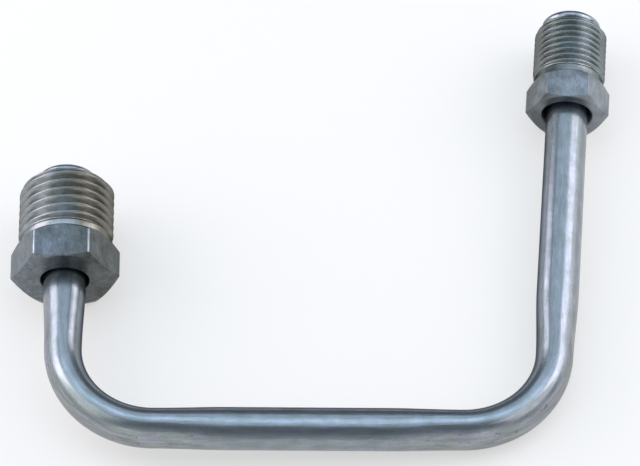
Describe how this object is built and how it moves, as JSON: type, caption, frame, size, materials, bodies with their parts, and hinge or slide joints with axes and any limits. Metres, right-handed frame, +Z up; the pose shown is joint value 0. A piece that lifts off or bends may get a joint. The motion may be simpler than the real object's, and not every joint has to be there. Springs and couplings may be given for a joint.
{
  "type": "brake line",
  "caption": "Rigid steel brake line bent to a U, with a double flare and a loose hexagon flare nut at each end, one nut larger than the other.",
  "frame": {"origin": "on the floor that the line lies on, under the middle of its box as seen from above", "axes": "+X along the base run, from the large nut's side to the small nut's; +Y from the base run towards the nuts; +Z up from the floor"},
  "size_m": [0.0909, 0.076, 0.015],
  "materials": {
    "tube_steel": "smooth drawn steel tube with a bright plated surface",
    "nut_steel": "machined steel nut with a dull grey zinc finish"
  },
  "bodies": {
    "tube": {"brake_tube": "tube_steel"},
    "large_nut": {"large_tube_nut": "nut_steel"},
    "small_nut": {"small_tube_nut": "nut_steel"}
  },
  "joints": [
    {"name": "large_nut_spin", "type": "hinge", "parent": "tube", "child": "large_nut", "pos_m": [-0.03726, 0.00149, 0.00763], "axis": [-0.0122, 0.9989, 0.0453], "continuous": true},
    {"name": "small_nut_spin", "type": "hinge", "parent": "tube", "child": "small_nut", "pos_m": [0.03956, 0.03136, 0.00599], "axis": [0.0697, 0.9967, 0.042], "continuous": true}
  ]
}
